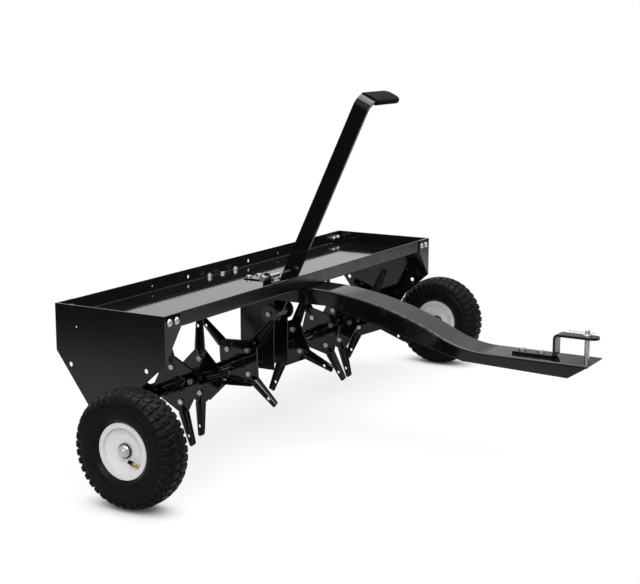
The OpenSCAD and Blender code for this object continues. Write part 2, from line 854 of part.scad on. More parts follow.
module link_pins() {
    stack = link_t + lever_t + 2 * side_play;
    color(zinc) link_frame() for (y = [0, link_len]) translate([link_t, y, 0]) {
        rod_x(link_pin_head_r, link_pin_head_t);
        translate([-stack, 0, 0]) rod_x(link_pin_d / 2, stack + link_pin_head_t / 2);
        translate([-stack - link_pin_head_t, 0, 0]) rod_x(link_pin_head_r, link_pin_head_t);
    }
}

// Cross shaft: runs the full width, turns with the cranks, and carries the stars and their spacers
arm_x = outer_x + arm_gap;
arm_out_x = arm_x + crank_t;
star_shares = [first_star_share, second_star_share, third_star_share, fourth_star_share];
star_xs = [for (share = star_shares) share * mid_x];
star_half = paint_film / 2 + star_sheet + collar_t;
spacers_in_x = hanger_out_x + bush_flange_t + side_play;
spacers_out_x = mid_x - bush_flange_t - side_play;

module cross_shaft() {
    color(zinc) translate([-arm_out_x, shaft_y, shaft_z]) rod_x(shaft_r, 2 * arm_out_x);
}

module shaft_spacers() {
    last = len(star_xs);
    color(paint) for (side = [-1, 1]) on_side(side) for (i = [0 : last]) {
        start = i == 0 ? spacers_in_x : star_xs[i - 1] + star_half + side_play;
        end = i == last ? spacers_out_x : star_xs[i] - star_half - side_play;
        translate([start, shaft_y, shaft_z]) difference() {
            rod_x(spacer_d / 2, end - start);
            drill_x(shaft_r + run_fit, end - start);
        }
    }
}

// Crank lug: clamped on the shaft between the hangers, moved by the link
module crank_lug() {
    hub_out_r = shaft_r + lug_wall;
    color(paint) translate([0, shaft_y, shaft_z]) rotate([lever_lean, 0, 0]) difference() {
        union() {
            translate([-hub_half, 0, 0]) rod_x(hub_out_r, 2 * hub_half);
            translate([-lever_t / 2, 0, 0]) rod_x(hub_out_r + lug_weld, lever_t);
            translate([-lever_t / 2, 0, 0]) eye_bar(lever_t, ear_r, link_reach);
        }
        translate([-hub_half, 0, 0]) drill_x(shaft_r + run_fit, 2 * hub_half);
        translate([-lever_t / 2, link_reach, 0]) drill_x(link_pin_d / 2 + run_fit, lever_t);
    }
}

// Crank arms: flat bars outside the end plates, from the cross shaft to the wheel axles
module crank_arm(side) {
    span = norm([crank_reach, crank_drop]);
    tilt = atan2(crank_drop, crank_reach);
    color(paint) on_side(side) translate([arm_x, shaft_y, shaft_z]) rotate([tilt, 0, 0]) difference() {
        eye_bar(crank_t, crank_w / 2, -span);
        drill_x(shaft_r + run_fit, crank_t);
        translate([0, -span, 0]) drill_x(axle_d / 2 + run_fit, crank_t);
    }
}

module left_crank_arm() { crank_arm(-1); }
module right_crank_arm() { crank_arm(1); }

// Stub axles: shouldered pins in the crank arms, with a nut and washer outside each wheel
hub_in_x = wheel_x - hub_len / 2 - hub_flange_t;
washer_x = wheel_x + hub_len / 2 + hub_flange_t + side_play;
axle_nut_h = axle_d * axle_nut_h_share;

module stub_axle(side) {
    axle_end_x = washer_x + washer_t + axle_nut_h + axle_tail;
    color(zinc) on_side(side) translate([0, axle_y, axle_z]) {
        translate([arm_x, 0, 0]) rod_x(axle_d / 2, axle_end_x - arm_x);
        translate([arm_out_x, 0, 0]) rod_x(shoulder_r, hub_in_x - side_play - arm_out_x);
        translate([arm_x - stub_head_t, 0, 0]) rod_x(shoulder_r, stub_head_t);
    }
}

module left_stub_axle() { stub_axle(-1); }
module right_stub_axle() { stub_axle(1); }

module axle_nuts() {
    color(zinc) for (side = [-1, 1]) on_side(side) translate([washer_x, axle_y, axle_z]) {
        difference() {
            rod_x(axle_d * washer_share / 2, washer_t);
            drill_x(axle_d / 2 + run_fit, washer_t);
        }
        translate([washer_t, 0, 0]) rotate([0, 90, 0]) hex_nut(axle_d, axle_nut_h);
    }
}

// Lever lock: a plunger in an angle bracket on the tray floor, which slides in behind the lever
lock_z = floor_top_z + lock_rise;
lever_back_y = lever_y(lock_z, lever_lean, lever_setback + lever_w / 2);
lock_y = lever_back_y + lock_room + lock_r;
lock_tip_x = -lever_t / 2 - lock_room;
knob_face_x = -bracket_out_x - lock_travel - lock_room;

module lock_bracket() {
    ear_w = 2 * bracket_ear_r;
    tail_len = hanger_bolt_ys[1] + bracket_tail_in - lock_y;
    color(paint) difference() {
        translate([0, lock_y, floor_top_z]) {
            translate([-bracket_out_x, 0, lock_rise]) rod_x(bracket_ear_r, bracket_t);
            translate([-bracket_out_x, -bracket_ear_r, 0]) cube([bracket_t, ear_w, lock_rise]);
            translate([-bracket_out_x, -bracket_ear_r, 0])
                cube([bracket_out_x - bracket_in_x, ear_w, bracket_t]);
            translate([-bracket_tail_out_x, 0, 0])
                cube([bracket_tail_out_x - bracket_in_x, tail_len, bracket_t]);
        }
        translate([-bracket_out_x, lock_y, lock_z]) drill_x(lock_r + run_fit, bracket_t);
        for (y = hanger_bolt_ys)
            translate([-hanger_bolt_x, y, floor_top_z]) drill_z((bolt_d + bolt_fit) / 2, bracket_t);
    }
}

module lock_pin() {
    color(zinc) translate([knob_face_x, lock_y, lock_z]) rod_x(lock_r, lock_tip_x - knob_face_x);
}

module lock_knob() {
    color(zinc) translate([knob_face_x - knob_t, lock_y, lock_z]) rod_x(knob_r, knob_t);
}

// Coring star: two plates back to back, each with two opposite spoons rolled into troughs
// Body of revolution about +Z that the spoon's trough follows, thinned by the given amount
module spoon_form(thin) {
    rotate_extrude() polygon([
        [0, spoon_root_r],
        [spoon_root - thin, spoon_root_r],
        [spoon_belly - thin, spoon_belly_r],
        [spoon_nose - thin, star_tip_r + overrun],
        [0, star_tip_r + overrun]
    ]);
}

// Outline that rounds off a spoon's tip, seen along the axle
module spoon_outline() {
    tip_r = spoon_nose + star_sheet / 2;
    translate([0, star_tip_r - tip_r]) circle(r = tip_r);
    translate([-2 * spoon_belly, 0]) square([4 * spoon_belly, star_tip_r - tip_r]);
}

module spoon() {
    difference() {
        intersection() {
            difference() {
                spoon_form(0);
                spoon_form(star_sheet);
            }
            side_sheet(2 * spoon_belly) spoon_outline();
        }
        translate([0, 0, star_tip_r - spoon_hole_back]) rod_x(spoon_hole_d / 2, 2 * spoon_belly);
    }
}

// Outline of the star plate: a square with a cut corner for each spoon
module star_outline() {
    half = star_corner_w / 2;
    polygon([
        for (turn = [0 : 90 : 270], s = [-1, 1])
            [
                star_corner_r * cos(turn) - s * half * sin(turn),
                star_corner_r * sin(turn) + s * half * cos(turn)
            ]
    ]);
}

// One star plate with its spoons along +Z and -Z and its collar, standing on x = 0 towards +X
module star_plate() {
    difference() {
        union() {
            difference() {
                side_sheet(star_sheet) star_outline();
                for (turn = [0, 180]) rotate([turn, 0, 0]) spoon_form(star_sheet);
            }
            for (turn = [0, 180]) rotate([turn, 0, 0]) spoon();
            rod_x(collar_r, star_sheet + collar_t);
        }
        drill_x(shaft_r + run_fit, star_sheet + collar_t);
        for (turn = [0 : 90 : 270]) rotate([turn, 0, 0])
            translate([0, 0, star_bolt_r]) drill_x((bolt_d + bolt_fit) / 2, star_sheet);
    }
}

// Moves a star piece to its place along the shaft, counted from the left, and turns it to its phase
module at_star(number) {
    count = len(star_xs);
    x = number > count ? star_xs[number - count - 1] : -star_xs[count - number];
    translate([x, shaft_y, shaft_z]) rotate([-star_phases[number - 1], 0, 0]) children();
}

module star(number) {
    color(paint) at_star(number) {
        translate([paint_film / 2, 0, 0]) star_plate();
        mirror([1, 0, 0]) translate([paint_film / 2, 0, 0]) rotate([90, 0, 0]) star_plate();
    }
}

module star_bolts(number) {
    grip = 2 * star_sheet + paint_film;
    color(zinc) at_star(number) for (turn = [0 : 90 : 270]) rotate([turn, 0, 0])
        translate([-grip / 2, 0, star_bolt_r]) rotate([0, -90, 0]) bolt_and_nut(bolt_d, grip);
}

module star_1() { star(1); }
module star_2() { star(2); }
module star_3() { star(3); }
module star_4() { star(4); }
module star_5() { star(5); }
module star_6() { star(6); }
module star_7() { star(7); }
module star_8() { star(8); }
module star_1_bolts() { star_bolts(1); }
module star_2_bolts() { star_bolts(2); }
module star_3_bolts() { star_bolts(3); }
module star_4_bolts() { star_bolts(4); }
module star_5_bolts() { star_bolts(5); }
module star_6_bolts() { star_bolts(6); }
module star_7_bolts() { star_bolts(7); }
module star_8_bolts() { star_bolts(8); }

// Wheels: a pneumatic tyre on a steel rim that runs on nylon hub bushes
// Moves a wheel piece, drawn about the X axis with its outboard side towards +X, to its place
module at_wheel(side) {
    on_side(side) translate([wheel_x, axle_y, axle_z]) children();
}

// Turns a section drawn with X along the radius and Y along the axle into a solid about X
module around_x() {
    rotate([0, 90, 0]) rotate_extrude() children();
}

module rounded_band(r_low, r_high, half_w, corner) {
    translate([r_low, corner - half_w]) square([r_high - r_low, 2 * (half_w - corner)]);
    translate([r_low + corner, -half_w]) square([r_high - r_low - 2 * corner, 2 * half_w]);
    for (s = [-1, 1], r = [r_low + corner, r_high - corner])
        translate([r, s * (half_w - corner)]) circle(r = corner);
}

module tyre_section() {
    flange_r = rim_d / 2;
    tread_r = tyre_d / 2;
    seat = rim_w / 2 - rim_sheet;
    bead_h = flange_r - bead_r + tyre_corner;
    difference() {
        union() {
            rounded_band(flange_r, tread_r, tyre_w / 2, tyre_corner);
            translate([bead_r, -seat]) square([bead_h, 2 * seat]);
        }
        rounded_band(
            flange_r + tyre_wall,
            tread_r - tyre_wall - tread_depth,
            tyre_w / 2 - tyre_wall,
            tyre_corner - tyre_wall
        );
        translate([bead_r - overrun, bead_w - seat]) square([bead_h, 2 * (seat - bead_w)]);
    }
}

module tyre(side) {
    color(black_rubber) at_wheel(side) difference() {
        around_x() tyre_section();
        for (s = [0, 1], k = [0 : lug_count - 1])
            rotate([(k + s * lug_stagger_share) * 360 / lug_count, 0, 0]) mirror([s, 0, 0])
                translate([tyre_w / 2 - lug_len, -lug_slot_w / 2, tyre_d / 2 - tread_depth])
                    cube([lug_len + overrun, lug_slot_w, tread_depth + overrun]);
    }
}

// Rim: flanges that hold the tyre's beads, a barrel between them, and two dished discs to the hub
module rim_section() {
    half = rim_w / 2;
    flange_r = rim_d / 2;
    barrel_r = bead_r - rim_sheet;
    face = half - dish_depth;
    for (s = [0, 1]) mirror([0, s]) {
        translate([barrel_r, half - rim_sheet]) square([flange_r - barrel_r - rim_sheet / 2, rim_sheet]);
        translate([flange_r - rim_sheet / 2, half - rim_sheet / 2]) circle(d = rim_sheet);
        translate([barrel_r, 0]) square([rim_sheet, half]);
        polygon([
            [bead_r, face + dish_step],
            [dish_knee_r, face],
            [hub_bore_r, face],
            [hub_bore_r, face - rim_sheet],
            [dish_knee_r, face - rim_sheet],
            [bead_r, face + dish_step - rim_sheet]
        ]);
    }
    translate([hub_bore_r, -hub_len / 2]) square([hub_r - hub_bore_r, hub_len]);
}

// Places a valve piece where the stem comes out of the disc, with +X outboard and -Y towards the hub
module valve_frame() {
    rotate([180 + valve_angle, 0, 0]) translate([rim_w / 2 - dish_depth, valve_r, 0])
        rotate([-valve_turn, 0, 0]) children();
}

module rim(side) {
    color(white_paint) at_wheel(side) difference() {
        around_x() rim_section();
        valve_frame() translate([-rim_sheet, 0, 0]) rod_x(valve_d / 2 + run_fit, rim_w);
    }
}

module hub_bushes(side) {
    color(dark_nylon) at_wheel(side) for (s = [0, 1]) mirror([s, 0, 0])
        translate([hub_len / 2, 0, 0]) difference() {
            union() {
                translate([-hub_bush_depth, 0, 0]) rod_x(hub_bore_r - run_fit, hub_bush_depth);
                rod_x(hub_r + hub_flange_out, hub_flange_t);
            }
            translate([-hub_bush_depth, 0, 0]) drill_x(axle_d / 2 + run_fit, hub_bush_depth + hub_flange_t);
        }
}

// Valve: a brass stem that comes out of the disc and turns to run along it, with a cap
module valve_stem(side) {
    stem_r = valve_d / 2;
    color(brass_tone) at_wheel(side) valve_frame() {
        translate([-rim_sheet, 0, 0]) rod_x(stem_r, rim_sheet + valve_stand);
        translate([valve_stand, 0, 0]) sphere(r = stem_r);
        translate([valve_stand, 0, 0]) rotate([90, 0, 0]) cylinder(r = stem_r, h = valve_run);
    }
}

module valve_cap(side) {
    color(black_rubber) at_wheel(side) valve_frame()
        translate([valve_stand, -valve_run, 0]) rotate([90, 0, 0]) cylinder(d = cap_d, h = cap_len);
}

module left_tyre() { tyre(-1); }
module right_tyre() { tyre(1); }
module left_rim() { rim(-1); }
module right_rim() { rim(1); }
module left_hub_bushes() { hub_bushes(-1); }
module right_hub_bushes() { hub_bushes(1); }
module left_valve_stem() { valve_stem(-1); }
module right_valve_stem() { valve_stem(1); }
module left_valve_cap() { valve_cap(-1); }
module right_valve_cap() { valve_cap(1); }

tray_pan();
left_end_plate();
right_end_plate();
end_plate_bolts();
left_hanger();
right_hanger();
hanger_bolts();
shaft_bushes();
drawbar();
drawbar_bolts();
hitch_strap();
hitch_bolts();
hitch_pin();
hitch_clip();
lever();
lever_grip();
lever_pivot_bolt();
pivot_bosses();
lift_link();
link_pins();
cross_shaft();
crank_lug();
left_crank_arm();
right_crank_arm();
left_stub_axle();
right_stub_axle();
axle_nuts();
shaft_spacers();
lock_bracket();
lock_pin();
lock_knob();
star_1();
star_2();
star_3();
star_4();
star_5();
star_6();
star_7();
star_8();
star_1_bolts();
star_2_bolts();
star_3_bolts();
star_4_bolts();
star_5_bolts();
star_6_bolts();
star_7_bolts();
star_8_bolts();
left_tyre();
left_rim();
left_hub_bushes();
left_valve_stem();
left_valve_cap();
right_tyre();
right_rim();
right_hub_bushes();
right_valve_stem();
right_valve_cap();
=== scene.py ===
"""Looks for the tow behind aerator.

Gloss black paint, zinc fasteners, white rims, treaded tyres and a soft grip, in a white studio.
"""

import json
import math

import bpy
import numpy as np
from mathutils import Matrix, Vector


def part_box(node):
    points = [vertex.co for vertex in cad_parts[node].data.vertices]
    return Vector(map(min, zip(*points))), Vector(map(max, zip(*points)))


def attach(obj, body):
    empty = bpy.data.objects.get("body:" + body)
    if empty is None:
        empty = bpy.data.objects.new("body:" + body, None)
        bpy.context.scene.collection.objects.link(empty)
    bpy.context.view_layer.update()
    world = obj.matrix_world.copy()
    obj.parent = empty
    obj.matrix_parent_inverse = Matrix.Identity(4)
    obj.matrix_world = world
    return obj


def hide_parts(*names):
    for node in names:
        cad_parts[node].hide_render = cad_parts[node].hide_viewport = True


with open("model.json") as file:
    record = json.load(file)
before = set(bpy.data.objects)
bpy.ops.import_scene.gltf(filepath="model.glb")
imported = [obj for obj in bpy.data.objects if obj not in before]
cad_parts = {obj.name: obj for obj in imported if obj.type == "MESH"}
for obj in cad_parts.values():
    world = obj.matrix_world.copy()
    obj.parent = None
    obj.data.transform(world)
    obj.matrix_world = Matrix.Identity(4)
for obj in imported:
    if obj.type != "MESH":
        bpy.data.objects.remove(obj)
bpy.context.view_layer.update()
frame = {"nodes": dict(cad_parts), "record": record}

# Photograph: its width in pixels, and the camera that took it
PHOTO_W = 640
SENSOR_MM = 36.0
FOCAL_PX = 1393.0
CAMERA_PLACE = Vector((-2.992, -1.5445, 1.013))
CAMERA_AZIMUTH = math.radians(-59.63)
CAMERA_ELEVATION = math.radians(10.94)
VIEW_ALONG = (0.863, 0.505, 0.0)

# Tyre: its carcass seen in section, from the bead to the crown (radius, half width)
CARCASS = [
    (0.0600, 0.0280), (0.0632, 0.0305), (0.0670, 0.0350), (0.0730, 0.0398), (0.0810, 0.0423),
    (0.0900, 0.0428), (0.0990, 0.0420), (0.1070, 0.0398), (0.1140, 0.0363), (0.1195, 0.0315),
    (0.1230, 0.0255), (0.1250, 0.0170), (0.1258, 0.0085), (0.1260, 0.0000),
]
CARCASS_STEP = 0.0015
TYRE_STEPS = 640

# Tread: blocks along the crown, and lugs on the shoulders, measured across from the crown
TREAD_DEPTH = 0.0040
TREAD_PITCHES = 40
LUG_START, LUG_END = 0.0240, 0.0500
LUG_FADE = 0.007
LUG_GROOVE = 0.0060
BLOCK_GROOVE = 0.0034
BLOCK_SLANT = 6.0  # pitches per metre across
GROOVE_WALL = 0.0011
SHOULDER_INSET = 0.0022
SHOULDER_WAVE = 0.0030
CROWN_WAVE = 0.0038

# Ribs round the tyre's side walls
SIDE_RIB_RADII = (0.0715, 0.0985)
SIDE_RIB_HEIGHT = 0.0009
SIDE_RIB_WIDTH = 0.0016
SIDE_RIB_START = LUG_END - 0.004

# Grip: its section, the rings at its open end, its rounded far end, and the lever's lean
GRIP_HALF_W, GRIP_HALF_T = 0.026, 0.009
GRIP_STEPS = 48
GRIP_SQUARENESS = 0.62
GRIP_MOUTH_REACH = [0.001, 0.0, 0.002]
GRIP_MOUTH_WIDTH = [0.82, 0.93, 1.0]
GRIP_MOUTH_DEPTH = [0.48, 0.85, 1.0]
GRIP_ROUND = 0.024
GRIP_END_RINGS = 15
GRIP_END_WIDTH_POWER, GRIP_END_DEPTH_POWER = 0.55, 0.30
LEVER_LEAN = math.radians(25.3)

# Floor as the machine's gloss mirrors it: painted shade darkens it away from the machine, and one
# patch is painted bright as a pool of light
FLOOR_HALF = 30.0
MIRROR_FADE = (1.5, 2.8)
MIRROR_START = (-1.4, -0.6)
MIRROR_PAINTED_TONES = (0.06, 0.45)
PAINTED_LIGHT_PLACE = (1.8, -0.9, 0.0)
PAINTED_LIGHT_FADE = (0.5, 1.3)
PAPER_TONE = 0.93

# Floor as the camera sees it: white, with a soft shadow, and painted shade where something stands on
# it, taken from ambient occlusion
CONTACT_REACH = 0.08
CONTACT_OPEN = (0.1, 0.8)
CONTACT_PAINTED_SHADE_TONES = (0.05, 1.0)
FOOTPRINT_PLACE = (0.0, 0.30, 0.0)
FOOTPRINT_SCALE = (1.0, 0.55, 1.0)
SHADOW_FADE = (0.5, 1.3)
SHADOW_COVER = (0.76, 1.0)

# Room around: ways to its bright sides, how narrow each one is, and how bright
BACKDROP_WAY, BACKDROP_FADE = (0.72, 0.69, 0.0), (0.83, 0.96)
CEILING_WAY, CEILING_FADE, CEILING_TONES = (0.0, 0.0, 1.0), (0.15, 0.42), (0.07, 0.60)
FRONT_WAY, FRONT_FADE, FRONT_TONES = (-0.78, -0.50, 0.37), (0.55, 0.95), (0.0, 0.75)


# Nodes

def add_node(tree, kind, **settings):
    """A new node in a tree, with the given settings."""
    made = tree.nodes.new(kind)
    for key, value in settings.items():
        setattr(made, key, value)
    return made


def feed(tree, value, socket):
    """Gives a socket a number, or joins another socket to it."""
    if isinstance(value, (int, float)):
        socket.default_value = value
    else:
        tree.links.new(value, socket)


def arithmetic(tree, operation, first, second):
    """A Math node; each operand is a socket or a number."""
    made = add_node(tree, "ShaderNodeMath", operation=operation)
    for socket, value in zip(made.inputs, (first, second)):
        feed(tree, value, socket)
    return made.outputs[0]


def remap(tree, value, low, high, out_low=0.0, out_high=1.0, curve="LINEAR"):
    """A Map Range node; each value is a socket or a number."""
    made = add_node(tree, "ShaderNodeMapRange", interpolation_type=curve)
    labels = ("Value", "From Min", "From Max", "To Min", "To Max")
    for label, given in zip(labels, (value, low, high, out_low, out_high)):
        feed(tree, given, made.inputs[label])
    return made.outputs["Result"]


def smooth_step(tree, value, low, high, out_low=0.0, out_high=1.0):
    """A Map Range node that eases in and out."""
    return remap(tree, value, low, high, out_low, out_high, curve="SMOOTHSTEP")


def noise(tree, place, scale, detail, roughness=0.55):
    """A noise pattern at the given place and scale."""
    made = add_node(tree, "ShaderNodeTexNoise")
    for label, given in (
        ("Detail", detail), ("Roughness", roughness), ("Vector", place), ("Scale", scale)
    ):
        feed(tree, given, made.inputs[label])
    return made.outputs["Fac"]


def object_place(tree):
    """Where a point lies on its object."""
    return add_node(tree, "ShaderNodeTexCoord").outputs["Object"]


def vector_value(tree, operation, place, other=None):
    """A number from a vector: its length, or its dot product with or distance to another."""
    made = add_node(tree, "ShaderNodeVectorMath", operation=operation)
    tree.links.new(place, made.inputs[0])
    if other is not None:
        made.inputs[1].default_value = other
    return made.outputs["Value"]


# Effects that the materials share

def new_effect(name, inputs, outputs):
    """An empty shader node group with named sockets: the group, its input and its output node."""
    group = bpy.data.node_groups.new(name, "ShaderNodeTree")
    for label, value in inputs.items():
        socket = group.interface.new_socket(label, in_out="INPUT", socket_type="NodeSocketFloat")
        socket.default_value = value
    for label, kind in outputs.items():
        group.interface.new_socket(label, in_out="OUTPUT", socket_type=kind)
    return group, group.nodes.new("NodeGroupInput"), group.nodes.new("NodeGroupOutput")


def soft_edges():
    """Rounds sharp edges in the shading, and gives a mask of where they are, which the black paint
    and zinc use for a painted highlight.
    """
    group, ins, outs = new_effect(
        "soft edges", {"Radius": 0.001}, {"Normal": "NodeSocketVector", "Edge": "NodeSocketFloat"}
    )
    bevel = add_node(group, "ShaderNodeBevel", samples=6)
    group.links.new(ins.outputs["Radius"], bevel.inputs["Radius"])
    flat = add_node(group, "ShaderNodeNewGeometry")
    dot = add_node(group, "ShaderNodeVectorMath", operation="DOT_PRODUCT")
    group.links.new(bevel.outputs["Normal"], dot.inputs[0])
    group.links.new(flat.outputs["Normal"], dot.inputs[1])
    edge = remap(group, dot.outputs["Value"], 0.98, 0.80)
    group.links.new(bevel.outputs["Normal"], outs.inputs["Normal"])
    group.links.new(edge, outs.inputs["Edge"])
    return group


def mottle():
    """Slow, cloudy change over a surface, between a low and a high value."""
    group, ins, outs = new_effect(
        "mottle", {"Scale": 12.0, "Low": 0.2, "High": 0.3}, {"Value": "NodeSocketFloat"}
    )
    cloud = noise(group, object_place(group), ins.outputs["Scale"], 5.0)
    value = remap(group, cloud, 0.32, 0.68, ins.outputs["Low"], ins.outputs["High"])
    group.links.new(value, outs.inputs["Value"])
    return group


def grain():
    """Fine even relief, such as the peel of sprayed paint or the skin of rubber."""
    group, ins, outs = new_effect("grain", {"Scale": 700.0}, {"Height": "NodeSocketFloat"})
    height = noise(group, object_place(group), ins.outputs["Scale"], 2.0)
    group.links.new(height, outs.inputs["Height"])
    return group


def dust():
    """A thin, patchy film on faces that look up; also tells how far a face looks up."""
    group, ins, outs = new_effect(
        "dust",
        {"Amount": 0.3, "Scale": 40.0},
        {"Mask": "NodeSocketFloat", "Upward": "NodeSocketFloat"},
    )
    facing = add_node(group, "ShaderNodeSeparateXYZ")
    normal = add_node(group, "ShaderNodeNewGeometry").outputs["Normal"]
    group.links.new(normal, facing.inputs[0])
    upward = remap(group, facing.outputs["Z"], 0.2, 1.0, 0.15, 1.0)
    speckle = noise(group, object_place(group), ins.outputs["Scale"], 8.0, 0.7)
    patches = remap(group, speckle, 0.45, 0.75)
    film = arithmetic(group, "MULTIPLY", upward, patches)
    mask = arithmetic(group, "MULTIPLY", film, ins.outputs["Amount"])
    group.links.new(mask, outs.inputs["Mask"])
    group.links.new(upward, outs.inputs["Upward"])
    return group


SOFT_EDGES, MOTTLE, GRAIN, DUST = soft_edges(), mottle(), grain(), dust()


# Materials

class Surface:
    """One material: its node tree, its Principled shader, and short ways to build it."""

    def __init__(self, name):
        self.material = bpy.data.materials.new(name)
        self.material.use_nodes = True
        self.tree = self.material.node_tree
        self.shader = self.tree.nodes["Principled BSDF"]

    def join(self, source, target):
        self.tree.links.new(source, target)

    def effect(self, group, **values):
        made = add_node(self.tree, "ShaderNodeGroup", node_tree=group)
        for key, value in values.items():
            made.inputs[key].default_value = value
        return made

    def clouds(self, scale, low=0.0, high=1.0):
        """A cloudy value between a low and a high one."""
        return self.effect(MOTTLE, Scale=scale, Low=low, High=high).outputs["Value"]

    def grain(self, scale):
        """The height of a fine, even relief."""
        return self.effect(GRAIN, Scale=scale).outputs["Height"]

    def blend(self, mask, first, second):
        """A colour mix by a mask; first and second are colours or sockets."""
        mix = add_node(self.tree, "ShaderNodeMix", data_type="RGBA")
        self.join(mask, mix.inputs["Factor"])
        for socket, value in ((mix.inputs[6], first), (mix.inputs[7], second)):
            if isinstance(value, tuple):
                socket.default_value = (*value, 1.0)
            else:
                self.join(value, socket)
        return mix.outputs[2]

    def relief(self, height, strength, distance, normal=None):
        """A bump from a height, on top of a normal, that feeds the shader."""
        bump = add_node(self.tree, "ShaderNodeBump")
        bump.inputs["Strength"].default_value = strength
        bump.inputs["Distance"].default_value = distance
        self.join(height, bump.inputs["Height"])
        if normal is not None:
            self.join(normal, bump.inputs["Normal"])
        self.join(bump.outputs["Normal"], self.shader.inputs["Normal"])

    def finish(self, colour, sheen, **values):
        """Joins colour and sheen to the shader, sets its other values and gives the material."""
        self.join(colour, self.shader.inputs["Base Color"])
        self.join(sheen, self.shader.inputs["Roughness"])
        for key, value in values.items():
            self.shader.inputs[key.replace("_", " ")].default_value = value
        return self.material


def black_paint(name, upright_sheen=0.06, edge_radius=0.0016):
    """Sprayed gloss black, smoothest on level faces: faint peel, little dust, and thin bright edges
    from rounded shading and a painted highlight.
    """
    paint = Surface(name)
    edges = paint.effect(SOFT_EDGES, Radius=edge_radius)
    film = paint.effect(DUST, Amount=0.004, Scale=55.0)
    level = paint.clouds(26.0, 0.055, 0.085)
    upright = paint.clouds(26.0, upright_sheen, upright_sheen * 1.4)
    sheen = remap(paint.tree, film.outputs["Upward"], 0.4, 0.9, upright, level)
    colour = paint.blend(paint.clouds(9.0), (0.0032, 0.0032, 0.0035), (0.0046, 0.0046, 0.0050))
    # painted highlight: the colour is lighter along the edges
    colour = paint.blend(edges.outputs["Edge"], colour, (0.018, 0.018, 0.019))
    colour = paint.blend(film.outputs["Mask"], colour, (0.22, 0.21, 0.20))
    paint.relief(paint.grain(420.0), 0.008, 0.0004, edges.outputs["Normal"])
    return paint.finish(colour, sheen, IOR=1.5)


def zinc_plate():
    """Bright zinc plating with cloudy passivation, and a painted highlight along its edges."""
    zinc = Surface("zinc plate")
    edges = zinc.effect(SOFT_EDGES, Radius=0.0006)
    colour = zinc.blend(zinc.clouds(90.0), (0.74, 0.75, 0.77), (0.86, 0.86, 0.85))
    # painted highlight: the zinc is lighter along its edges
    colour = zinc.blend(edges.outputs["Edge"], colour, (0.92, 0.92, 0.92))
    zinc.relief(zinc.grain(1500.0), 0.02, 0.0003, edges.outputs["Normal"])
    return zinc.finish(colour, zinc.clouds(120.0, 0.34, 0.46), Metallic=1.0)


def white_paint():
    """White enamel on the rims, a little warmer and duller in dusty patches on faces that look up.
    """
    enamel = Surface("white paint")
    edges = enamel.effect(SOFT_EDGES, Radius=0.0015)
    film = enamel.effect(DUST, Amount=0.10, Scale=90.0)
    colour = enamel.blend(enamel.clouds(28.0), (0.80, 0.81, 0.81), (0.84, 0.84, 0.83))
    colour = enamel.blend(film.outputs["Mask"], colour, (0.55, 0.53, 0.50))
    enamel.relief(enamel.grain(520.0), 0.05, 0.0004, edges.outputs["Normal"])
    sheen = enamel.clouds(60.0, 0.24, 0.34)
    return enamel.finish(colour, sheen, Coat_Weight=0.3, Coat_Roughness=0.1)


def tyre_rubber():
    """Moulded tyre rubber, blue-grey black, with a fine skin and a bloom in patches."""
    rubber = Surface("tyre rubber")
    film = rubber.effect(DUST, Amount=0.03, Scale=120.0)
    colour = rubber.blend(rubber.clouds(30.0), (0.0040, 0.0042, 0.0047), (0.0066, 0.0069, 0.0076))
    colour = rubber.blend(film.outputs["Mask"], colour, (0.10, 0.10, 0.10))
    rubber.relief(rubber.grain(900.0), 0.22, 0.0005)
    return rubber.finish(colour, rubber.clouds(45.0, 0.34, 0.46), Specular_IOR_Level=0.10)


def black_rubber():
    """Soft dipped rubber with a pebbled skin."""
    grip = Surface("black rubber")
    pebbles = add_node(grip.tree, "ShaderNodeTexVoronoi")
    pebbles.inputs["Scale"].default_value = 650.0
    grip.join(object_place(grip.tree), pebbles.inputs["Vector"])
    colour = grip.blend(grip.clouds(40.0), (0.0030, 0.0030, 0.0033), (0.0050, 0.0050, 0.0054))
    grip.relief(pebbles.outputs["Distance"], 0.20, 0.0004)
    return grip.finish(colour, grip.clouds(70.0, 0.55, 0.70), Specular_IOR_Level=0.1)


def black_nylon():
    """Turned black nylon with faint tool marks."""
    nylon = Surface("black nylon")
    edges = nylon.effect(SOFT_EDGES, Radius=0.0008)
    colour = nylon.blend(nylon.clouds(80.0), (0.012, 0.012, 0.013), (0.020, 0.020, 0.021))
    nylon.relief(nylon.grain(1100.0), 0.12, 0.0003, edges.outputs["Normal"])
    return nylon.finish(colour, nylon.clouds(120.0, 0.30, 0.42))


def valve_brass():
    """Brass with slight tarnish."""
    brass = Surface("valve brass")
    colour = brass.blend(brass.clouds(220.0), (0.46, 0.30, 0.10), (0.66, 0.47, 0.20))
    brass.relief(brass.grain(1600.0), 0.08, 0.0003)
    return brass.finish(colour, brass.clouds(300.0, 0.22, 0.40), Metallic=1.0)


FINISHES = {
    "black_paint": black_paint("black paint"),
    "zinc_plate": zinc_plate(),
    "white_paint": white_paint(),
    "tyre_rubber": tyre_rubber(),
    "black_rubber": black_rubber(),
    "black_nylon": black_nylon(),
    "valve_brass": valve_brass(),
}
SATIN_PAINT = black_paint("satin black paint", upright_sheen=0.22)
NODE_FINISHES = {
    "tray_pan": SATIN_PAINT,
    "left_hanger": SATIN_PAINT,
    "right_hanger": SATIN_PAINT,
    "drawbar": black_paint("black paint on wide folds", edge_radius=0.003),
}


def dress_nodes():
    """Gives each CAD node the finish of its slot; the large pressings have finishes of their own."""
    for part in frame["record"]["subparts"]:
        node = frame["nodes"][part["node"]]
        finish = NODE_FINISHES.get(part["node"], FINISHES[part["material_slot"]])
        node.data.materials.clear()
        node.data.materials.append(finish)
    even = frame["nodes"]["drawbar"].modifiers.new("even light along the folds", "WEIGHTED_NORMAL")
    even.mode = "FACE_AREA_WITH_ANGLE"
    even.weight = 100


